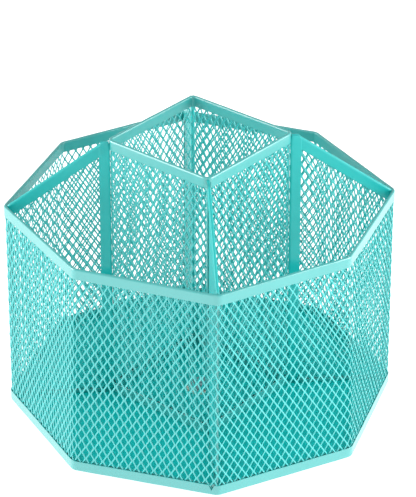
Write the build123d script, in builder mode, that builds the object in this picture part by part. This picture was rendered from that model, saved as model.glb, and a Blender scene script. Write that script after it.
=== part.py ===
from build123d import *
import os
from math import atan2, cos, pi, sin, sqrt

# Rotating desk organizer in folded steel strip and expanded steel mesh: an eight-sided basket with a
# taller square box in its middle, four dividers from the box to alternate corners, and a ball-bearing
# swivel under the floor. Millimetres; +Z is up along the spin axis; the origin is on the table.

# ---- basket -------------------------------------------------------------------------------------
corner_radius = 95.0        # spin axis to the outer corner of the rim, at the divider corners
rim_draw_in = 3.7           # how far the free corners of the rim are pulled in by the bent strip
basket_height = 109.1       # underside of the bottom rim to the top of the upper rim
wall_bend_radius = 5.0      # outside radius where the wall is bent at each corner
wall_corners = 8

# ---- centre box and dividers --------------------------------------------------------------------
box_side = 63.6             # across the outer faces of its rim
box_height = 142.5          # underside of the bottom rim to the top of the box
box_bend_radius = 3.5
shoulder_drop = 1.2         # the dividers' inner ends start this far below the top of the box
divider_angles = {"front_right": -45, "back_right": 45, "back_left": 135, "front_left": -135}

# ---- strip and sheet stock ----------------------------------------------------------------------
mesh_thickness = 0.8
strip_thickness = 0.4       # folded once over every mesh edge
rim_width = 5.5             # rims of the wall and the box, and the sloping tops of the dividers
upright_width = 5.4         # strip beside the box corner
edge_width = 2.0            # narrow strip round the outer and bottom edges of a divider
floor_thickness = 0.8
floor_lip = 1.0             # the floor's edge is turned down to the underside of the bottom rim

# ---- base and swivel ----------------------------------------------------------------------------
base_radius = 68.0
base_thickness = 1.0
base_lip = 1.2              # how far the base's edge is turned down below the plate
foot_height = 2.2           # table to the underside of the base plate
foot_radius = 6.0
foot_inset = 10.0           # foot centre from the edge of the base
foot_count = 4
foot_neck_radius = 2.0
foot_head_radius = 3.2
foot_head_height = 1.5
foot_edge_round = 0.6

ball_radius = 2.5
ball_count = 16
track_radius = 32.0
race_thickness = 1.0
race_lift = 0.35            # underside of the pressed track to the plate that the race is riveted to
race_lip = 1.0              # the track's edge stops this far from the ball centres
race_bore_radius = 19.0
running_gap = 0.05          # ball to track, ball to cage pocket, pin to bush
cage_thickness = 1.2
cage_wall = 0.9             # cage beyond its pockets, inwards and outwards

rivet_radius = 1.5
rivet_head_radius = 2.6
rivet_head_height = 0.8
rivet_circle = 24.0
rivet_count = 4

pin_radius = 3.0
pin_head_radius = 5.0
pin_head_height = 0.8
bush_wall = 1.5
bush_flange_radius = 7.5
bush_flange_thickness = 1.0
clip_gap = 0.3              # bush flange to the clip that holds the basket down
clip_thickness = 0.8
clip_radius = 6.0
clip_slot_width = 2.4
groove_depth = 0.6
pin_nose = 1.2              # pin above the clip
pin_chamfer = 0.5

# ---- levels and sizes that follow ---------------------------------------------------------------
band_thickness = 2 * strip_thickness + mesh_thickness
base_top = foot_height + base_thickness
ball_level = base_top + race_lift + race_thickness + running_gap + ball_radius
floor_under = 2 * ball_level - base_top
floor_top = floor_under + floor_thickness
basket_bottom = floor_under - floor_lip
basket_top = basket_bottom + basket_height
box_top = basket_bottom + box_height
foot_circle = base_radius - foot_inset
bush_radius = pin_radius + running_gap + bush_wall
bush_top = floor_top + bush_flange_thickness
clip_under = bush_top + clip_gap
clip_top = clip_under + clip_thickness
pin_top = clip_top + pin_nose

os.makedirs("parts", exist_ok=True)


def write_piece(piece, name):
    piece.part.label = name
    export_step(piece.part, f"parts/{name}.step")


# ---- outlines -----------------------------------------------------------------------------------
def wall_outline(level, draw_in, inset):
    """Eight-sided outline, its free corners drawn in, taken `inset` inside the rim's outer face."""
    corners = []
    for number in range(wall_corners):
        radius = corner_radius if number % 2 else corner_radius - draw_in
        angle = 2 * pi * number / wall_corners
        corners.append((radius * cos(angle), radius * sin(angle)))
    with BuildSketch(Plane.XY.offset(level)) as outline:
        Polygon(*corners, align=None)
        fillet(outline.vertices(), wall_bend_radius)
        if inset:
            offset(amount=-inset)
    return outline.sketch


def box_outline(level, draw_in, inset):
    """Square outline of the centre box, taken `inset` inside its rim's outer face."""
    with BuildSketch(Plane.XY.offset(level)) as outline:
        Rectangle(box_side, box_side)
        fillet(outline.vertices(), box_bend_radius)
        if inset:
            offset(amount=-inset)
    return outline.sketch


def corner_reach(draw_in):
    """Spin axis to where both edges of a divider's strip touch the inside of the rim's bend."""
    free_radius = corner_radius - draw_in
    step = 2 * pi / wall_corners
    half_angle = atan2(free_radius * sin(step), corner_radius - free_radius * cos(step))
    bend_centre = corner_radius - wall_bend_radius / sin(half_angle)
    inside_bend = wall_bend_radius - band_thickness
    return bend_centre + sqrt(inside_bend**2 - (band_thickness / 2) ** 2)


def ring_sketch(outline, level, draw_in, outer_inset, inner_inset):
    with BuildSketch(Plane.XY.offset(level)) as ring:
        add(outline(level, draw_in, outer_inset))
        add(outline(level, draw_in, inner_inset), mode=Mode.SUBTRACT)
    return ring.sketch


def folded_rim(outline, bottom, top, draw_in, fold_is_low):
    """Strip folded over a mesh edge all the way round: two faces, joined along the fold."""
    slot_bottom = bottom + strip_thickness if fold_is_low else bottom
    slot_height = top - bottom - strip_thickness
    mesh_face = strip_thickness + mesh_thickness
    with BuildPart() as rim:
        extrude(ring_sketch(outline, bottom, draw_in, 0, band_thickness), amount=top - bottom)
        extrude(
            ring_sketch(outline, slot_bottom, draw_in, strip_thickness, mesh_face),
            amount=slot_height,
            mode=Mode.SUBTRACT,
        )
    return rim


# ---- wall: one mesh strip with a folded rim above and below --------------------------------------
write_piece(
    folded_rim(wall_outline, basket_bottom, basket_bottom + rim_width, 0, True), "bottom_rim"
)
write_piece(
    folded_rim(wall_outline, basket_top - rim_width, basket_top, rim_draw_in, False), "upper_rim"
)

mesh_low = basket_bottom + rim_width
mesh_high = basket_top - rim_width
tucked = rim_width - strip_thickness
with BuildPart() as outer_wall_mesh:
    for inset, mode in ((strip_thickness, Mode.ADD), (strip_thickness + mesh_thickness, Mode.SUBTRACT)):
        extrude(wall_outline(mesh_low - tucked, 0, inset), amount=tucked, mode=mode)
        extrude(wall_outline(mesh_high, rim_draw_in, inset), amount=tucked, mode=mode)
        loft(
            [wall_outline(mesh_low, 0, inset), wall_outline(mesh_high, rim_draw_in, inset)],
            ruled=True,
            mode=mode,
        )
write_piece(outer_wall_mesh, "outer_wall_mesh")

# ---- centre box ---------------------------------------------------------------------------------
write_piece(folded_rim(box_outline, floor_top, floor_top + rim_width, 0, True), "box_bottom_rim")
write_piece(folded_rim(box_outline, box_top - rim_width, box_top, 0, False), "box_top_rim")

box_mesh_low = floor_top + strip_thickness
with BuildPart() as box_mesh:
    extrude(
        ring_sketch(box_outline, box_mesh_low, 0, strip_thickness, strip_thickness + mesh_thickness),
        amount=box_top - strip_thickness - box_mesh_low,
    )
write_piece(box_mesh, "box_mesh")

# ---- dividers -----------------------------------------------------------------------------------
divider_inner = box_side / sqrt(2) - box_bend_radius * (sqrt(2) - 1)
divider_outer = min(corner_reach(0), corner_reach(rim_draw_in))
shoulder_level = box_top - shoulder_drop
slope = (basket_top - shoulder_level) / (divider_outer - divider_inner)
slope_length = sqrt(1 + slope**2)
fold_drop = strip_thickness * slope_length
rim_drop = rim_width * slope_length
upright_outer = divider_inner + upright_width


def top_edge(radius):
    """Height of the divider's straight sloping top at this distance from the spin axis."""
    return shoulder_level + slope * (radius - divider_inner)


def flat_piece(plane, outline, thickness, slot_outline=None):
    """Strip or sheet lying in a divider's plane, with room for the mesh inside the fold."""
    with BuildPart() as piece:
        with BuildSketch(plane):
            Polygon(*outline, align=None)
        extrude(amount=thickness / 2, both=True)
        if slot_outline:
            with BuildSketch(plane):
                Polygon(*slot_outline, align=None)
            extrude(amount=mesh_thickness / 2, both=True, mode=Mode.SUBTRACT)
    return piece


inner_mesh = divider_inner + strip_thickness
outer_mesh = divider_outer - strip_thickness
low_mesh = floor_top + strip_thickness
edge_inner = divider_outer - edge_width
edge_top = floor_top + edge_width

divider_mesh_outline = [
    (inner_mesh, low_mesh),
    (outer_mesh, low_mesh),
    (outer_mesh, top_edge(outer_mesh) - fold_drop),
    (inner_mesh, top_edge(inner_mesh) - fold_drop),
]
upright_outline = [
    (divider_inner, floor_top),
    (upright_outer, floor_top),
    (upright_outer, top_edge(upright_outer)),
    (divider_inner, top_edge(divider_inner)),
]
upright_slot = [
    (inner_mesh, floor_top),
    (upright_outer, floor_top),
    (upright_outer, top_edge(upright_outer) - fold_drop),
    (inner_mesh, top_edge(inner_mesh) - fold_drop),
]
top_outline = [
    (upright_outer, top_edge(upright_outer) - rim_drop),
    (divider_outer, top_edge(divider_outer) - rim_drop),
    (divider_outer, top_edge(divider_outer)),
    (upright_outer, top_edge(upright_outer)),
]
top_slot = [
    (upright_outer, top_edge(upright_outer) - rim_drop),
    (divider_outer, top_edge(divider_outer) - rim_drop),
    (divider_outer, top_edge(divider_outer) - fold_drop),
    (upright_outer, top_edge(upright_outer) - fold_drop),
]
edge_outline = [
    (upright_outer, floor_top),
    (divider_outer, floor_top),
    (divider_outer, top_edge(divider_outer) - rim_drop),
    (edge_inner, top_edge(edge_inner) - rim_drop),
    (edge_inner, edge_top),
    (upright_outer, edge_top),
]
edge_slot = [
    (upright_outer, low_mesh),
    (outer_mesh, low_mesh),
    (outer_mesh, top_edge(outer_mesh) - rim_drop),
    (edge_inner, top_edge(edge_inner) - rim_drop),
    (edge_inner, edge_top),
    (upright_outer, edge_top),
]

for place, angle in divider_angles.items():
    turn = angle * pi / 180
    panel = Plane(origin=(0, 0, 0), x_dir=(cos(turn), sin(turn), 0), z_dir=(sin(turn), -cos(turn), 0))
    write_piece(flat_piece(panel, divider_mesh_outline, mesh_thickness), f"divider_mesh_{place}")
    write_piece(
        flat_piece(panel, upright_outline, band_thickness, upright_slot), f"divider_upright_{place}"
    )
    write_piece(flat_piece(panel, top_outline, band_thickness, top_slot), f"divider_top_{place}")
    write_piece(flat_piece(panel, edge_outline, band_thickness, edge_slot), f"divider_edge_{place}")

# ---- floor --------------------------------------------------------------------------------------
rivet_places = PolarLocations(rivet_circle, rivet_count)
upper_rivet_places = PolarLocations(rivet_circle, rivet_count, start_angle=180 / rivet_count)

with BuildPart() as floor_plate:
    extrude(wall_outline(basket_bottom, 0, band_thickness), amount=floor_top - basket_bottom)
    extrude(
        wall_outline(basket_bottom, 0, band_thickness + floor_thickness),
        amount=floor_lip,
        mode=Mode.SUBTRACT,
    )
    with BuildSketch(Plane.XY.offset(floor_under)):
        Circle(bush_radius)
        with upper_rivet_places:
            Circle(rivet_radius)
    extrude(amount=floor_thickness, mode=Mode.SUBTRACT)
write_piece(floor_plate, "floor_plate")

# ---- base: pressed round plate on four push-in rubber feet ----------------------------------------
foot_places = PolarLocations(foot_circle, foot_count, start_angle=180 / foot_count)

with BuildPart() as base_plate:
    with BuildSketch(Plane.XY.offset(foot_height - base_lip)):
        Circle(base_radius)
    extrude(amount=base_lip + base_thickness)
    with BuildSketch(Plane.XY.offset(foot_height - base_lip)):
        Circle(base_radius - base_thickness)
    extrude(amount=base_lip, mode=Mode.SUBTRACT)
    with BuildSketch(Plane.XY.offset(foot_height)):
        Circle(pin_radius)
        with rivet_places:
            Circle(rivet_radius)
        with foot_places:
            Circle(foot_neck_radius)
    extrude(amount=base_thickness, mode=Mode.SUBTRACT)
    fillet(base_plate.edges().group_by(Axis.Z)[-1].sort_by(SortBy.LENGTH)[-1], base_thickness / 2)
write_piece(base_plate, "base_plate")

for number in range(foot_count):
    turn = 2 * pi * (number + 0.5) / foot_count
    upright = Plane(
        origin=(foot_circle * cos(turn), foot_circle * sin(turn), 0),
        x_dir=(cos(turn), sin(turn), 0),
        z_dir=(sin(turn), -cos(turn), 0),
    )
    with BuildPart() as foot:
        with BuildSketch(upright):
            Polygon(
                (0, 0),
                (foot_radius, 0),
                (foot_radius, foot_height),
                (foot_neck_radius, foot_height),
                (foot_neck_radius, base_top),
                (foot_head_radius, base_top),
                (foot_neck_radius, base_top + foot_head_height),
                (0, base_top + foot_head_height),
                align=None,
            )
        revolve(axis=Axis(upright.origin, (0, 0, 1)))
        fillet(foot.edges().group_by(Axis.Z)[0], foot_edge_round)
    write_piece(foot, f"foot_{number + 1}")


# ---- swivel: two pressed races, a caged ring of balls, and their rivets ----------------------------
def pressed_race(plate_face, side):
    """Flat riveting flange and a half-round ball track, turned about the spin axis.

    `side` is 1 for the race that lies on the base and -1 for its mirror under the floor.
    """
    flange_level = plate_face + side * race_thickness / 2
    lip_level = ball_level - side * race_lip
    track_outer = ball_radius + running_gap + race_thickness
    cut_height = 2 * track_outer
    with BuildPart() as race:
        with BuildSketch(Plane.XZ):
            with Locations((track_radius, ball_level)):
                Circle(track_outer)
            with Locations((track_radius, lip_level + side * cut_height / 2)):
                Rectangle(2 * track_outer, cut_height, mode=Mode.SUBTRACT)
            with Locations(((race_bore_radius + track_radius) / 2, flange_level)):
                Rectangle(track_radius - race_bore_radius, race_thickness)
            with Locations((track_radius, ball_level)):
                Circle(ball_radius + running_gap, mode=Mode.SUBTRACT)
        revolve(axis=Axis.Z)
        holes = rivet_places if side > 0 else upper_rivet_places
        with BuildSketch(Plane.XY.offset(flange_level - race_thickness / 2)):
            with holes:
                Circle(rivet_radius)
        extrude(amount=race_thickness, mode=Mode.SUBTRACT)
    return race


write_piece(pressed_race(base_top, 1), "lower_race")
write_piece(pressed_race(floor_under, -1), "upper_race")

with BuildPart() as ball_cage:
    with BuildSketch(Plane.XY.offset(ball_level - cage_thickness / 2)):
        Circle(track_radius + ball_radius + cage_wall)
        Circle(track_radius - ball_radius - cage_wall, mode=Mode.SUBTRACT)
        with PolarLocations(track_radius, ball_count):
            Circle(ball_radius + running_gap, mode=Mode.SUBTRACT)
    extrude(amount=cage_thickness)
write_piece(ball_cage, "ball_cage")

with BuildPart() as balls:
    with Locations((0, 0, ball_level)):
        with PolarLocations(track_radius, ball_count):
            Sphere(ball_radius)
write_piece(balls, "balls")


def rivet_set(places, low_face, high_face):
    """Four rivets that clamp everything between two faces, with a head on each."""
    with BuildPart() as rivets:
        with BuildSketch(Plane.XY.offset(low_face - rivet_head_height)):
            with places:
                Circle(rivet_head_radius)
        extrude(amount=rivet_head_height)
        with BuildSketch(Plane.XY.offset(high_face)):
            with places:
                Circle(rivet_head_radius)
        extrude(amount=rivet_head_height)
        outer_faces = rivets.faces().sort_by(Axis.Z)
        fillet(outer_faces[:rivet_count].edges(), rivet_head_height / 2)
        fillet(rivets.faces().sort_by(Axis.Z)[-rivet_count:].edges(), rivet_head_height / 2)
        with BuildSketch(Plane.XY.offset(low_face)):
            with places:
                Circle(rivet_radius)
        extrude(amount=high_face - low_face)
    return rivets


write_piece(rivet_set(rivet_places, foot_height, base_top + race_thickness), "lower_rivets")
write_piece(rivet_set(upper_rivet_places, floor_under - race_thickness, floor_top), "upper_rivets")

# ---- centre pin, its bush and the clip that keeps the basket on the base ---------------------------
with BuildPart() as pivot_pin:
    with BuildSketch(Plane.XY.offset(foot_height - pin_head_height)):
        Circle(pin_head_radius)
    extrude(amount=pin_head_height)
    with BuildSketch(Plane.XY.offset(foot_height)):
        Circle(pin_radius)
    extrude(amount=pin_top - foot_height)
    chamfer(pivot_pin.edges().group_by(Axis.Z)[-1], pin_chamfer)
    with BuildSketch(Plane.XY.offset(clip_under)):
        Circle(pin_radius)
        Circle(pin_radius - groove_depth, mode=Mode.SUBTRACT)
    extrude(amount=clip_thickness, mode=Mode.SUBTRACT)
write_piece(pivot_pin, "pivot_pin")

with BuildPart() as pivot_bush:
    with BuildSketch(Plane.XY.offset(floor_under)):
        Circle(bush_radius)
    extrude(amount=floor_thickness)
    with BuildSketch(Plane.XY.offset(floor_top)):
        Circle(bush_flange_radius)
    extrude(amount=bush_flange_thickness)
    with BuildSketch(Plane.XY.offset(floor_under)):
        Circle(pin_radius + running_gap)
    extrude(amount=bush_top - floor_under, mode=Mode.SUBTRACT)
write_piece(pivot_bush, "pivot_bush")

with BuildPart() as retaining_clip:
    with BuildSketch(Plane.XY.offset(clip_under)):
        Circle(clip_radius)
        Circle(pin_radius - groove_depth, mode=Mode.SUBTRACT)
        with Locations((clip_radius / 2, 0)):
            Rectangle(clip_radius, clip_slot_width, mode=Mode.SUBTRACT)
    extrude(amount=clip_thickness)
write_piece(retaining_clip, "retaining_clip")
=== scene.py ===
from math import cos, pi, radians, sin, sqrt

import bpy
import numpy as np
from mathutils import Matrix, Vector


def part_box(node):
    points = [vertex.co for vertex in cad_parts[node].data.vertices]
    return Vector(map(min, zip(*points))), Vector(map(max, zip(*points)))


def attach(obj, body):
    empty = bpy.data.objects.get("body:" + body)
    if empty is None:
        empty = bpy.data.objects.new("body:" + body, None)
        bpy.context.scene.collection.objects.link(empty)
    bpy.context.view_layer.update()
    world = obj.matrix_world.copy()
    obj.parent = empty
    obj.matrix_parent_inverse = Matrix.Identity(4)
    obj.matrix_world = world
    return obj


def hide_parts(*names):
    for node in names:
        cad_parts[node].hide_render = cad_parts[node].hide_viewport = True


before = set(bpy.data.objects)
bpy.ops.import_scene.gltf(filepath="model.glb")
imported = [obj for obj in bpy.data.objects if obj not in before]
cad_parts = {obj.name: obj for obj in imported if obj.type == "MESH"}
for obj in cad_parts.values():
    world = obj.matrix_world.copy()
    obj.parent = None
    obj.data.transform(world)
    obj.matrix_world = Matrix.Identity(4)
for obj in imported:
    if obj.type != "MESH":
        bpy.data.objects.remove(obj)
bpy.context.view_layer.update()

# ---- Studio -------------------------------------------------------------------------------------
# A backlit table of white acrylic in an even tent of light, with a softbox on the left, another
# on the right and a weak one in front. A long lens looks down on the basket from thirty degrees.
mm = 0.001
camera_azimuth = radians(40.17)
camera_elevation = radians(30.18)
camera_distance = 1402 * mm
aim_up = 22.9 * mm
aim_right = 3.7 * mm

bottom_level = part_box("bottom_rim")[0][2]
upper_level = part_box("upper_rim")[1][2]
target = Vector((0, 0, (bottom_level + upper_level) / 2))
camera_side = Vector((cos(camera_azimuth), sin(camera_azimuth), 0))
level_away = Vector((camera_side.y, -camera_side.x, 0))
away = level_away * cos(camera_elevation) + Vector((0, 0, sin(camera_elevation)))
camera_data = bpy.data.cameras.new("camera")
camera_data.lens = 207.1
camera_data.sensor_width = 36
camera_data.clip_end = 20
camera = bpy.data.objects.new("camera", camera_data)
bpy.context.collection.objects.link(camera)
camera.location = target + away * camera_distance
sight = target + away.cross(camera_side) * aim_up + camera_side * aim_right - camera.location
camera.rotation_euler = sight.to_track_quat("-Z", "Y").to_euler()
bpy.context.scene.camera = camera
bpy.context.scene.view_settings.view_transform = "Standard"
bpy.context.scene.view_settings.look = "None"


def linear(hex_colour):
    """sRGB hex to linear: a channel c above 0.04 becomes ((c + 0.055) / 1.055) to the power 2.4."""
    channels = [int(hex_colour[i : i + 2], 16) / 255 for i in (0, 2, 4)]
    return [c / 12.92 if c <= 0.04045 else ((c + 0.055) / 1.055) ** 2.4 for c in channels] + [1]


def add_node(tree, kind, settings=None, **inputs):
    """Adds a node, sets its properties, and fills or links its inputs, named or numbered as _3."""
    node = tree.nodes.new(kind)
    for key, value in (settings or {}).items():
        setattr(node, key, value)
    for key, value in inputs.items():
        place = int(key[1:]) if key[1:].isdigit() else key.replace("_", " ")
        socket = node.inputs[place]
        if isinstance(value, bpy.types.NodeSocket):
            tree.links.new(value, socket)
        else:
            socket.default_value = value
    return node


# Each softbox has its place and its side in metres, and its power in watts.
for name, place, side, power in (
    ("softbox_left", (-0.85, -0.8, 0.35), 0.7, 10.5),
    ("softbox_right", (1.1, 0.55, 0.35), 0.7, 13.5),
    ("softbox_front", (0.5, -1.2, 1.3), 0.8, 3.5),
):
    lamp_data = bpy.data.lights.new(name, "AREA")
    lamp_data.size = side
    lamp_data.energy = power
    lamp = bpy.data.objects.new(name, lamp_data)
    bpy.context.collection.objects.link(lamp)
    lamp.location = place
    lamp.rotation_euler = (target - lamp.location).to_track_quat("-Z", "Y").to_euler()

tent = bpy.data.worlds.new("tent")
bpy.context.scene.world = tent
tent.use_nodes = True
tent.node_tree.nodes["Background"].inputs["Color"].default_value = (1, 1, 1, 1)
tent.node_tree.nodes["Background"].inputs["Strength"].default_value = 0.53

floor_half = 6.0
floor_mesh = bpy.data.meshes.new("light_table")
floor_signs = [(-1, -1), (1, -1), (1, 1), (-1, 1)]
floor_corners = [(floor_half * x, floor_half * y, 0) for x, y in floor_signs]
floor_mesh.from_pydata(floor_corners, [], [(0, 1, 2, 3)])
light_table = bpy.data.objects.new("light_table", floor_mesh)
bpy.context.collection.objects.link(light_table)
acrylic = bpy.data.materials.new("backlit_white_acrylic")
acrylic.use_nodes = True
acrylic_shader = acrylic.node_tree.nodes["Principled BSDF"]
acrylic_shader.inputs["Base Color"].default_value = linear("909090")
acrylic_shader.inputs["Roughness"].default_value = 0.9
acrylic_shader.inputs["Emission Color"].default_value = (1, 1, 1, 1)
acrylic_shader.inputs["Emission Strength"].default_value = 1.1
floor_mesh.materials.append(acrylic)

# ---- Rims of the wall ---------------------------------------------------------------------------
# Flat mild-steel strip folded over the top and the bottom edge of the mesh wall, bent with it at
# the eight corners, and powder coated. The fold is a full round; the cut edges lie on the mesh.
corner_radius = 95.0 * mm
rim_draw_in = 3.7 * mm
wall_bend = 5.0 * mm
rim_width = 5.5 * mm
band_thickness = 1.6 * mm
strip_thickness = 0.4 * mm
bevel = 0.08 * mm
rim_inset = 0.09 * mm
wave_size = 0.03 * mm
notch_depth = 3.0 * mm
notch_width = 2.8 * mm
notch_corner = 7
points_before_bend = 2


def start_material(name):
    """A new material, its node tree, its shader, and object coordinates to place patterns by."""
    material = bpy.data.materials.new(name)
    material.use_nodes = True
    tree = material.node_tree
    place = add_node(tree, "ShaderNodeTexCoord").outputs["Object"]
    return material, tree, tree.nodes["Principled BSDF"], place


def powder_coat(name, colour, shade, roughness, gloss):
    """Thermoset powder fused over steel: a satin colour under a clear-looking skin.

    Its orange peel is 1.4 mm from crest to crest, the grain of the powder is drawn at 0.3 mm, and
    the film's thickness drifts over about 20 mm, which shifts the colour a little. `gloss` is how
    much of the film's smooth top skin shows.
    """
    material, tree, shader, place = start_material(name)
    noise = "ShaderNodeTexNoise"
    peel = add_node(tree, noise, Vector=place, Scale=1 / (1.4 * mm), Detail=2.0).outputs[0]
    grain = add_node(tree, noise, Vector=place, Scale=1 / (0.3 * mm), Detail=1.0).outputs[0]
    drift = add_node(tree, noise, Vector=place, Scale=1 / (20 * mm), Detail=3.0).outputs[0]
    colours = {"_6": linear(colour), "_7": linear(shade)}
    tone = add_node(tree, "ShaderNodeMix", {"data_type": "RGBA"}, Factor=drift, **colours)
    tree.links.new(tone.outputs[2], shader.inputs["Base Color"])
    spread = 0.06
    low, high = roughness - spread, roughness + spread
    satin = add_node(tree, "ShaderNodeMapRange", Value=grain, _3=low, _4=high)
    tree.links.new(satin.outputs[0], shader.inputs["Roughness"])
    sum_up = {"operation": "MULTIPLY_ADD"}
    relief = add_node(tree, "ShaderNodeMath", sum_up, _0=grain, _1=0.25, _2=peel).outputs[0]
    bump = add_node(tree, "ShaderNodeBump", Strength=0.4, Distance=0.03 * mm, Height=relief)
    tree.links.new(bump.outputs[0], shader.inputs["Normal"])
    shader.inputs["IOR"].default_value = 1.55
    shader.inputs["Specular IOR Level"].default_value = 0.3 + 0.5 * gloss
    shader.inputs["Coat Weight"].default_value = gloss
    shader.inputs["Coat IOR"].default_value = 1.8
    shader.inputs["Coat Roughness"].default_value = 0.25
    return material


strip_coat = powder_coat("aqua_powder_coat_on_strip", "30B6B3", "28AEAB", 0.4, 1.0)


def bent_outline(corners, bend_radius):
    """Points on a closed bent strip, seen from above, with the outward normal at each.

    Each corner is an arc of the bend radius that touches both sides. Its centre lies on the
    corner's bisector, bend radius / cos(half the turn) inside it, and its points are
    centre + radius x normal. Points on the straights crowd towards the bends by a cosine.
    """
    along = np.roll(corners, -1, axis=0) - corners
    heading = np.arctan2(along[:, 1], along[:, 0])
    before = np.roll(heading, 1)
    turn = np.mod(heading - before, 2 * pi)
    middle = before + turn / 2 - pi / 2
    bisector = np.stack([np.cos(middle), np.sin(middle)], 1)
    centre = corners - (bend_radius / np.cos(turn / 2))[:, None] * bisector
    angle = (before - pi / 2)[:, None] + turn[:, None] * np.linspace(0, 1, 9)
    arc_normal = np.stack([np.cos(angle), np.sin(angle)], 2)
    arc = centre[:, None] + bend_radius * arc_normal
    share = (0.5 - 0.5 * np.cos(np.linspace(0, pi, 25)))[1:-1][None, :, None]
    straight = arc[:, -1:] * (1 - share) + np.roll(arc, -1, axis=0)[:, :1] * share
    straight_normal = np.repeat(arc_normal[:, -1:], share.size, axis=1)
    points = np.concatenate([arc, straight], axis=1).reshape(-1, 2)
    return points, np.concatenate([arc_normal, straight_normal], axis=1).reshape(-1, 2)


def wall_outline(draw_in):
    """The wall's eight corners; every other one is drawn in, and the rest carry the dividers."""
    turn = np.arange(8) * pi / 4
    radius = corner_radius - np.where(np.arange(8) % 2, 0, draw_in)
    return bent_outline(np.stack([radius * np.cos(turn), radius * np.sin(turn)], 1), wall_bend)


def new_piece(name, vertices, quads, material, body, flat_faces=0):
    """Makes an object from arrays of points and quads; the last faces may be flat-shaded."""
    vertices = np.asarray(vertices, np.float32).reshape(-1, 3)
    quads = np.asarray(quads, np.int32).reshape(-1, 4)
    mesh = bpy.data.meshes.new(name)
    mesh.vertices.add(len(vertices))
    mesh.vertices.foreach_set("co", vertices.ravel())
    mesh.loops.add(quads.size)
    mesh.loops.foreach_set("vertex_index", quads.ravel())
    mesh.polygons.add(len(quads))
    mesh.polygons.foreach_set("loop_start", np.arange(0, quads.size, 4, dtype=np.int32))
    mesh.polygons.foreach_set("use_smooth", np.arange(len(quads)) < len(quads) - flat_faces)
    mesh.update(calc_edges=True)
    mesh.materials.append(material)
    piece = bpy.data.objects.new(name, mesh)
    bpy.context.collection.objects.link(piece)
    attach(piece, body)
    return piece


def folded_section(width, thickness, wall):
    """Half of a folded strip's cross-section, as two chains of (across, down) points.

    The outer chain runs from one cut edge down to the fold, round it in a half circle, and up to
    the other cut edge. The inner chain is the same, one wall thickness inside. The cut edges are
    bevelled.
    """
    half = thickness / 2
    turn = np.linspace(0, pi, 9)

    def chain(inset, radius):
        tip, face = inset
        left = [(tip, width), (face, width - bevel), (face, width - 4 * bevel), (face, half * 1.5)]
        fold = np.stack([half - radius * np.cos(turn), half - radius * np.sin(turn)], 1)
        right = [(thickness - a, b) for a, b in left[::-1]]
        return np.concatenate([left, fold, right])

    return chain((bevel, 0), half), chain((wall - bevel, wall), half - wall)


def carried_strip(name, section, path, across, down, closed, material):
    """Carries a folded section along a path: point = path + across x (first) + down x (second).

    The faces are turned so that they look outwards, and an open strip gets a flat cut at each end.
    """
    outer, inner = section
    loop = np.concatenate([outer, inner[::-1]])
    sideways_part = loop[None, :, :1] * across[:, None]
    vertices = path[:, None] + sideways_part + loop[None, :, 1:] * down[:, None]
    rows, columns = vertices.shape[:2]
    row = np.arange(rows if closed else rows - 1)[:, None] * columns
    next_row = (row + columns) % (rows * columns)
    column = np.arange(columns)[None, :]
    next_column = (column + 1) % columns
    sides = (row + column, next_row + column, next_row + next_column, row + next_column)
    quads = np.stack(np.broadcast_arrays(*sides), 2).reshape(-1, 4)
    caps = np.zeros((0, 4), int)
    if not closed:
        k = np.arange(len(outer) - 1)
        start = np.stack([k, k + 1, columns - 2 - k, columns - 1 - k], 1)
        caps = np.concatenate([start, start[:, ::-1] + (rows - 1) * columns])
    quads = np.concatenate([quads, caps])
    if np.dot(np.cross(path[1] - path[0], down[0]), across[0]) < 0:
        quads = quads[:, ::-1]
    return new_piece(name, vertices, quads, material, "basket", len(caps))


def rim(name, node, outline, level, side, notched=False):
    """A folded strip round an outline, rising from its fold if `side` is 1 and hanging if it is -1.

    It waves in and out by under a tenth of a millimetre. If it is notched, its outer cut edge dips
    in a V beside one corner, deepest in the middle and straight on both sides.
    """
    points, normals = outline
    bearing = np.arctan2(points[:, 1], points[:, 0])
    wave = wave_size * (np.sin(9 * bearing + 1) + np.sin(23 * bearing) + np.sin(41 * bearing + 2))
    ring = len(points)
    path = np.column_stack([points - (rim_inset + wave)[:, None] * normals, np.full(ring, level)])
    across = np.column_stack([-normals, np.zeros(ring)])
    down = np.column_stack([np.zeros((ring, 2)), np.full(ring, side)])
    section = folded_section(rim_width, band_thickness, strip_thickness)
    piece = carried_strip(name, section, path, across, down, True, strip_coat)
    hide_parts(node)
    if notched:
        columns = len(piece.data.vertices) // ring
        outer_cut_edge = [0, 1, 2, -3, -2, -1]
        middle = notch_corner * ring // 8 - points_before_bend
        distance = np.linalg.norm(points - points[middle], axis=1)
        dip = side * notch_depth * np.clip(1 - distance / (notch_width / 2), 0, 1)
        co = np.empty(ring * columns * 3, np.float32)
        piece.data.vertices.foreach_get("co", co)
        co = co.reshape(ring, columns, 3)
        co[:, outer_cut_edge, 2] -= dip[:, None]
        piece.data.vertices.foreach_set("co", co.ravel())
        piece.data.update()


bottom_outline = wall_outline(0)
upper_outline = wall_outline(rim_draw_in)
rim("bottom_rim_strip", "bottom_rim", bottom_outline, bottom_level, 1, notched=True)
rim("upper_rim_strip", "upper_rim", upper_outline, upper_level, -1)

# ---- Wall mesh ----------------------------------------------------------------------------------
# Expanded steel: a sheet slit and stretched into diamonds 4.27 mm wide and 6.52 mm high, then bent
# with the rims. Every strand is a zigzag ribbon, tilted, and joined to its neighbours by turns.
diamond_width = 4.27 * mm
diamond_height = 6.52 * mm
strand_width = 0.9 * mm
strand_thickness = 0.5 * mm
strand_tilt = radians(15)
bond_share = 0.12
bond_overlap = 0.7
tuck_under_strip = 2.6 * mm
mesh_coat = powder_coat("aqua_powder_coat_on_mesh", "1CCCCA", "14C4C2", 0.38, 0.9)


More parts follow.
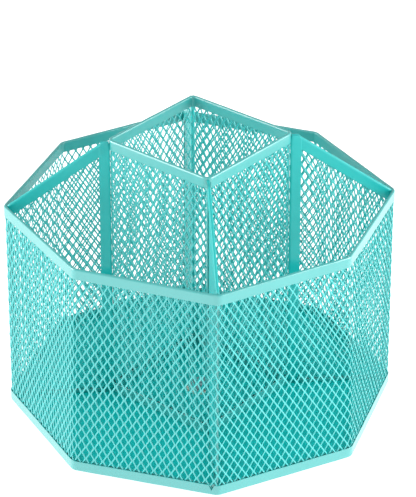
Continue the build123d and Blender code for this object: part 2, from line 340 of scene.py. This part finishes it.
def strand_rings(width, low, high):
    """Zigzag ribbons of flat expanded mesh, as rings of six points (across, up, outwards).

    Ribbon k climbs in column k of half a diamond's width and swings left and right by turns, in a
    triangle wave cut flat at the bonds. The ribbons are tilted: a right edge lies half a tilted
    width further in and a left edge as much further out. So a ribbon moves out by that where it
    swings right and in where it swings left, and neighbours meet edge to edge, overlapping by a
    share of a strand. Each ring is a flattened hexagon, widened by how much the ribbon leans.
    """
    count = int(round(width / diamond_width)) * 2
    pitch = width / count
    half_height = diamond_height / 2
    start, end = 0.5, (high - low) / half_height + 0.5
    steps = np.arange(int(np.ceil(end - start)) + 1)[:, None]
    phase = (steps + np.array([bond_share, 1 - bond_share])).ravel()
    phase = np.concatenate([[start], phase[(phase > start) & (phase < end)], [end]])
    swing = np.clip((1 - 2 * np.abs(np.mod(phase, 2) - 1)) / (1 - 2 * bond_share), -1, 1)
    hand = np.where(np.arange(count) % 2, -1.0, 1.0)[:, None]
    reach = (pitch - strand_width * bond_overlap) / 2
    across = (np.arange(count)[:, None] + 0.5) * pitch + hand * reach * swing
    out = hand * strand_width / 2 * sin(strand_tilt) * swing
    lean = sqrt(1 + (2 * reach / (half_height * (1 - 2 * bond_share))) ** 2)
    ring_across = np.array([-0.5, -0.3, 0.3, 0.5, 0.3, -0.3]) * strand_width * (1 + lean) / 2
    ring_out = np.array([0, 0.5, 0.5, 0, -0.5, -0.5]) * strand_thickness
    u = across[..., None] + ring_across * cos(strand_tilt) + ring_out * sin(strand_tilt)
    d = out[..., None] - ring_across * sin(strand_tilt) + ring_out * cos(strand_tilt)
    v = np.broadcast_to((low + (phase - start) * half_height)[None, :, None], u.shape)
    return u, v, d


def strand_piece(name, node, xyz, keep=None):
    """Joins rings into closed tubes: six sides between kept rings, and two faces on each end."""
    strands, rings, sides = xyz.shape[:3]
    keep = np.ones((strands, rings), bool) if keep is None else keep
    index = np.arange(strands * rings * sides).reshape(strands, rings, sides)
    both = keep[:, :-1] & keep[:, 1:]
    here, above = index[:, :-1][both], index[:, 1:][both]
    walls = np.stack([here, np.roll(here, -1, 1), np.roll(above, -1, 1), above], 2).reshape(-1, 4)
    row = np.arange(strands)
    first = index[row, keep.argmax(axis=1)]
    last = index[row, rings - 1 - keep[:, ::-1].argmax(axis=1)]
    top_caps = [last[:, [0, 1, 2, 3]], last[:, [0, 3, 4, 5]]]
    bottom_caps = [first[:, [3, 2, 1, 0]], first[:, [5, 4, 3, 0]]]
    every_quad = np.concatenate([walls, *top_caps, *bottom_caps])
    used, quads = np.unique(every_quad, return_inverse=True)
    vertices = xyz.reshape(-1, 3)[used]
    piece = new_piece(name, vertices, quads.reshape(-1, 4), mesh_coat, "basket")
    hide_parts(node)


def round_outline(outline, share):
    """Point and outward normal at a share of the way round an outline, read off its length."""
    points, normals = (np.concatenate([part, part[:1]]) for part in outline)
    length = np.concatenate([[0], np.cumsum(np.linalg.norm(np.diff(points, axis=0), axis=1))])
    at = np.mod(share, 1) * length[-1]
    place = np.stack([np.interp(at, length, points[:, i]) for i in (0, 1)], -1)
    normal = np.stack([np.interp(at, length, normals[:, i]) for i in (0, 1)], -1)
    return place, normal / np.linalg.norm(normal, axis=-1, keepdims=True)


def wrap_strands(u, v, d, share, low_outline, high_outline, low, high):
    """Wraps flat strands round a ruled wall, which runs straight from one outline to the other."""
    rise = np.clip((v - low) / (high - low), 0, 1)[..., None]
    low_place, low_normal = round_outline(low_outline, share)
    high_place, high_normal = round_outline(high_outline, share)
    normal = low_normal * (1 - rise) + high_normal * rise
    flat = low_place * (1 - rise) + high_place * rise - (band_thickness / 2 - d)[..., None] * normal
    return np.concatenate([flat, v[..., None]], -1)


mesh_low = bottom_level + rim_width
mesh_high = upper_level - rim_width
perimeter = 8 * 2 * corner_radius * sin(pi / 8)
u, v, d = strand_rings(perimeter, mesh_low - tuck_under_strip, mesh_high + tuck_under_strip)
outlines = (bottom_outline, upper_outline)
wall_strands = wrap_strands(u, v, d, u / perimeter, *outlines, mesh_low, mesh_high)
half_way = len(wall_strands) // 2
strand_piece("outer_wall_strands_back", "outer_wall_mesh", wall_strands[:half_way])
strand_piece("outer_wall_strands_front", "outer_wall_mesh", wall_strands[half_way:])

# ---- Centre box ---------------------------------------------------------------------------------
# The same strip and mesh, bent into a square tube that stands on the floor plate and is taller than
# the wall. Its own folded rims close it above and below.
box_bend = 3.5 * mm
box_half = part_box("box_top_rim")[1][0]
box_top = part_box("box_top_rim")[1][2]
floor_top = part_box("box_bottom_rim")[0][2]

box_outline = bent_outline(box_half * np.array([(1, -1), (1, 1), (-1, 1), (-1, -1)]), box_bend)
rim("box_top_strip", "box_top_rim", box_outline, box_top, -1)
rim("box_bottom_strip", "box_bottom_rim", box_outline, floor_top, 1)
box_low = floor_top + rim_width
box_high = box_top - rim_width
box_girth = 8 * box_half
u, v, d = strand_rings(box_girth, box_low - tuck_under_strip, box_high + tuck_under_strip)
box_strands = wrap_strands(u, v, d, u / box_girth, box_outline, box_outline, box_low, box_high)
strand_piece("box_strands", "box_mesh", box_strands)

# ---- Dividers -----------------------------------------------------------------------------------
# Four flat panels of the same mesh from the box's corners to every other corner of the wall. A wide
# strip is folded over the sloping top, another up the inner edge, and a narrow one round the rest.
# The top strips and uprights get a duller, deeper copy of the rims' powder coat: painted shade,
# standing for the shade between the walls. The front upright, in full light, keeps the rims' coat.
upright_width = 5.4 * mm
upright_thickness = 2.0 * mm
upright_shift = 0.45 * mm
edge_width = 2.0 * mm
edge_bend = 2.6 * mm
edge_start = 1 * mm
ledge_length = 2.6 * mm
slope_softness = 0.8 * mm
tab_round = 3.0 * mm
tab_lean = 1.2 * mm
tab_narrowing = 0.62
lap_level = 78 * mm
lap_step = 0.1 * mm
lower_thickness_share = 0.84
tab_drop = 0.5 * mm
shoulder_drop = 1.2 * mm
slope_drop = 0.2 * mm
wall_reach = 0.2 * mm
tip_gap = 0.1 * mm
fine_length = 5 * mm
panel_margin = 0.8 * mm
panel_foot_gap = 0.6 * mm
panel_top_gap = 1.2 * mm
# Painted shade: the rims' powder, set duller and deeper, for the uprights and top strips.
painted_shade_coat = powder_coat("aqua_powder_coat_painted_shade", "0CC6C3", "08BCB9", 0.45, 0.35)
divider_angles = {"front_right": -45, "back_right": 45, "back_left": 135, "front_left": -135}
divider_inner = box_half * sqrt(2) - box_bend * (sqrt(2) - 1)
panel_near, panel_far = np.array(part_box("divider_mesh_back_right"))
divider_outer = divider_inner + np.hypot(*(panel_far - panel_near)[:2]) + wall_reach
shoulder_level = box_top - shoulder_drop
tab_top = shoulder_level - tab_drop
slope_start = divider_inner + ledge_length
slope_end = upper_level - slope_drop
slope = (slope_end - shoulder_level) / (divider_outer - slope_start)


def top_edge(radius):
    """Height of a divider's top: level on the ledge, a soft bend, then straight down to the rim."""
    past = radius - slope_start
    return shoulder_level + slope * (past + np.sqrt(past**2 + slope_softness**2)) / 2


upwards = np.array([0, 0, 1.0])
for place_name, angle in divider_angles.items():
    radial = np.array([cos(radians(angle)), sin(radians(angle)), 0])
    sideways = np.cross(radial, upwards)

    def panel_point(radius, level, depth=0.0):
        """A point of this divider's panel: out along it, up, and off its middle plane."""
        radius, level, depth = np.broadcast_arrays(radius, level, depth)
        return radius[..., None] * radial + level[..., None] * upwards + depth[..., None] * sideways

    near = divider_inner + tip_gap + np.linspace(0, fine_length, 21)
    far = np.linspace(divider_inner + fine_length + 1 * mm, divider_outer, 24)
    radius = np.concatenate([near, far])
    stretch = np.sqrt(1 + np.gradient(top_edge(radius), radius) ** 2)
    side = np.repeat(sideways[None], len(radius), 0)
    down = -stretch[:, None] * upwards
    path = panel_point(radius, top_edge(radius), -band_thickness / 2)
    section = folded_section(rim_width, band_thickness, strip_thickness)
    name = f"divider_top_strip_{place_name}"
    piece = carried_strip(name, section, path, side, down, False, painted_shade_coat)
    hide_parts(f"divider_top_{place_name}")

    level = np.concatenate([
        np.linspace(floor_top, lap_level - lap_step, 12),
        np.linspace(lap_level + lap_step, tab_top - tab_round, 12),
        tab_top - tab_round + tab_round * np.sin(np.linspace(0, pi / 2, 10)[1:]),
    ])
    past = np.clip((level - (tab_top - tab_round)) / tab_round, 0, 1)
    pull = 1 - np.sqrt(1 - past**2)
    fatness = np.where(level > lap_level, 1.0, lower_thickness_share)
    along = divider_inner - upright_shift + tab_lean * pull
    path = panel_point(along, level, -upright_thickness / 2 * fatness)
    side = sideways[None] * fatness[:, None]
    outward = (1 - tab_narrowing * pull)[:, None] * radial
    section = folded_section(upright_width, upright_thickness, strip_thickness)
    # Painted light and shade: the front upright takes the rims' coat, the other three the darker
    # copy.
    coat = strip_coat if place_name == "front_right" else painted_shade_coat
    name = f"divider_upright_strip_{place_name}"
    piece = carried_strip(name, section, path, side, outward, False, coat)
    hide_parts(f"divider_upright_{place_name}")

    turn = np.linspace(-pi / 2, 0, 9)
    bend_out, bend_up = divider_outer - edge_bend, floor_top + edge_bend
    foot_run = np.linspace(divider_inner + upright_width - edge_start, bend_out, 10)[:-1]
    climb = np.linspace(bend_up, upper_level - rim_width, 20)[1:]
    on_foot, on_wall = np.ones(len(foot_run)), np.ones(len(climb))
    along = np.concatenate([foot_run, bend_out + edge_bend * np.cos(turn), divider_outer * on_wall])
    level = np.concatenate([floor_top * on_foot, bend_up + edge_bend * np.sin(turn), climb])
    facing = np.concatenate([-pi / 2 * on_foot, turn, 0 * on_wall])[:, None]
    inward = -(np.cos(facing) * radial + np.sin(facing) * upwards)
    path = panel_point(along, level, -band_thickness / 2)
    section = folded_section(edge_width, band_thickness, strip_thickness)
    side = np.repeat(sideways[None], len(along), 0)
    name = f"divider_edge_strip_{place_name}"
    piece = carried_strip(name, section, path, side, inward, False, strip_coat)
    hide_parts(f"divider_edge_{place_name}")

    panel_width = divider_outer - divider_inner - 2 * panel_margin
    u, v, d = strand_rings(panel_width, floor_top + panel_foot_gap, shoulder_level)
    u = u + divider_inner + panel_margin
    keep = (v < top_edge(u) - panel_top_gap).all(axis=2)
    strands = panel_point(u, v, d)
    strand_piece(f"divider_strands_{place_name}", f"divider_mesh_{place_name}", strands, keep)

# ---- Floor --------------------------------------------------------------------------------------
# A pressed steel plate with its edge turned down inside the bottom rim, coated with the basket.
floor_coat = powder_coat("aqua_powder_coat_on_plate", "02D2CE", "01C8C5", 0.5, 0.0)


def finish(node, material):
    """Gives a piece of the frame its one material."""
    piece = bpy.data.objects[node]
    piece.data.materials.clear()
    piece.data.materials.append(material)


finish("floor_plate", floor_coat)

# ---- Base plate ---------------------------------------------------------------------------------
# A round pressing with a turned-down lip, coated in the same powder a shade deeper.
finish("base_plate", powder_coat("aqua_powder_coat_on_base", "0CB0AD", "08A6A3", 0.45, 0.4))


# ---- Races, pin and clip ------------------------------------------------------------------------
# Pressed and turned steel with bright zinc plating: a faintly blue grey with a soft cloudy lustre.
def plated_metal(name, colour, shade, roughness, cloud_size):
    """Plated or bare metal whose colour and polish vary in clouds of the given size."""
    material, tree, shader, place = start_material(name)
    noise = "ShaderNodeTexNoise"
    cloud = add_node(tree, noise, Vector=place, Scale=1 / cloud_size, Detail=4.0).outputs[0]
    scuff = add_node(tree, noise, Vector=place, Scale=1 / (0.4 * mm), Detail=2.0).outputs[0]
    colours = {"_6": linear(colour), "_7": linear(shade)}
    tone = add_node(tree, "ShaderNodeMix", {"data_type": "RGBA"}, Factor=cloud, **colours)
    tree.links.new(tone.outputs[2], shader.inputs["Base Color"])
    low, high = roughness * 0.7, roughness * 1.3
    polish = add_node(tree, "ShaderNodeMapRange", Value=cloud, _3=low, _4=high)
    tree.links.new(polish.outputs[0], shader.inputs["Roughness"])
    bump = add_node(tree, "ShaderNodeBump", Strength=0.2, Distance=0.02 * mm, Height=scuff)
    tree.links.new(bump.outputs[0], shader.inputs["Normal"])
    shader.inputs["Metallic"].default_value = 1.0
    return material


zinc = plated_metal("bright_zinc_plate_on_steel", "B9C6CC", "A6B4BA", 0.32, 3 * mm)
for node in ("upper_race", "lower_race", "pivot_pin", "retaining_clip"):
    finish(node, zinc)

# ---- Rivets -------------------------------------------------------------------------------------
# Aluminium rivets, peened over: paler and duller than the zinc. The upper ones were coated with the
# floor they hold, the lower ones are bare.
finish("upper_rivets", floor_coat)
finish("lower_rivets", plated_metal("peened_aluminium", "D9DADB", "C6C8CA", 0.42, 0.8 * mm))

# ---- Balls and cage -----------------------------------------------------------------------------
# Sixteen polished bearing balls, spaced by a ring moulded in natural nylon.
finish("balls", plated_metal("polished_bearing_steel", "D4D6DA", "C9CCD1", 0.09, 2 * mm))


def moulded(name, colour, shade, roughness, texture_size, relief_depth):
    """Moulded plastic or rubber: a fine eroded texture off the mould and a slight colour drift."""
    material, tree, shader, place = start_material(name)
    noise = "ShaderNodeTexNoise"
    texture = add_node(tree, noise, Vector=place, Scale=1 / texture_size, Detail=3.0).outputs[0]
    drift = add_node(tree, noise, Vector=place, Scale=1 / (8 * mm), Detail=2.0).outputs[0]
    colours = {"_6": linear(colour), "_7": linear(shade)}
    tone = add_node(tree, "ShaderNodeMix", {"data_type": "RGBA"}, Factor=drift, **colours)
    tree.links.new(tone.outputs[2], shader.inputs["Base Color"])
    spread = 0.07
    low, high = roughness - spread, roughness + spread
    satin = add_node(tree, "ShaderNodeMapRange", Value=texture, _3=low, _4=high)
    tree.links.new(satin.outputs[0], shader.inputs["Roughness"])
    bump = add_node(tree, "ShaderNodeBump", Strength=0.5, Distance=relief_depth, Height=texture)
    tree.links.new(bump.outputs[0], shader.inputs["Normal"])
    return material


nylon = moulded("natural_nylon_moulding", "E9E5D8", "DED9C9", 0.5, 0.35 * mm, 0.02 * mm)
nylon_shader = nylon.node_tree.nodes["Principled BSDF"]
nylon_shader.inputs["IOR"].default_value = 1.53
nylon_shader.inputs["Subsurface Weight"].default_value = 0.2
nylon_shader.inputs["Subsurface Scale"].default_value = 0.8 * mm
finish("ball_cage", nylon)

# ---- Centre bush --------------------------------------------------------------------------------
# A flanged nylon bush pressed into the floor plate; the pin turns in it.
finish("pivot_bush", nylon)

# ---- Feet ---------------------------------------------------------------------------------------
# Push-in feet of dark moulded rubber, dull and slightly grainy.
rubber = moulded("moulded_rubber", "2A2B2D", "222325", 0.78, 0.4 * mm, 0.04 * mm)
rubber.node_tree.nodes["Principled BSDF"].inputs["IOR"].default_value = 1.52
for number in range(1, 5):
    finish(f"foot_{number}", rubber)
